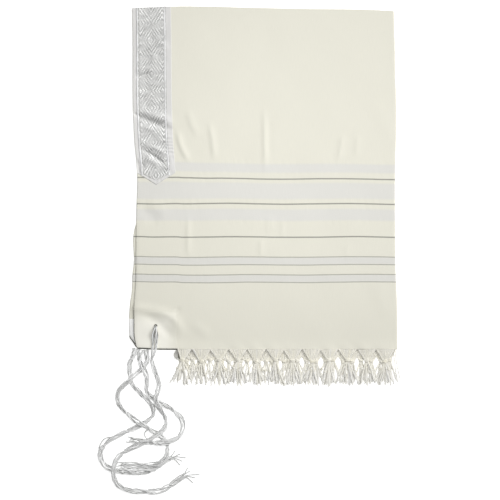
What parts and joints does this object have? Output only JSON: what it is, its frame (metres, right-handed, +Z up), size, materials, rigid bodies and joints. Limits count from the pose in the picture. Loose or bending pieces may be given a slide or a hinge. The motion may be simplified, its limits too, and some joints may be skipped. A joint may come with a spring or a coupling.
{
  "type": "tallit prayer shawl folded in quarters",
  "caption": "Cream wool prayer shawl folded flat in quarters, with a brocade neckband, woven stripes, knotted fringe and loose corner tassels.",
  "frame": {"origin": "on the surface the shawl lies on, under the middle of the folded cloth and its fringe", "axes": "+Z up from the surface; +Y from the fringed hem to the fold at mid-length; +X from the long edge with the neckband to the fold at mid-width"},
  "size_m": [0.8087, 1.3151, 0.0184],
  "materials": {
    "wool": "cream fulled wool with satin-woven stripes",
    "band_satin": "plain silver-white satin",
    "brocade": "silver-white figured brocade",
    "patch_cloth": "smooth cream satin",
    "fringe_yarn": "twisted and knotted wool warp ends",
    "tzitzit_yarn": "plied white wool strings"
  },
  "bodies": {
    "root": {"cloth_front_quarter": "wool", "cloth_back_quarter": "wool", "cloth_hidden_quarters": "wool", "neckband_satin": "band_satin", "neckband_brocade": "brocade", "corner_patch_front": "patch_cloth", "corner_patch_second": "patch_cloth", "corner_patch_back": "patch_cloth", "fringe_front": "fringe_yarn", "fringe_hidden": "fringe_yarn", "fringe_back": "fringe_yarn", "tzitzit_front": "tzitzit_yarn", "tzitzit_second": "tzitzit_yarn", "tzitzit_third": "tzitzit_yarn", "tzitzit_back": "tzitzit_yarn"}
  },
  "joints": []
}
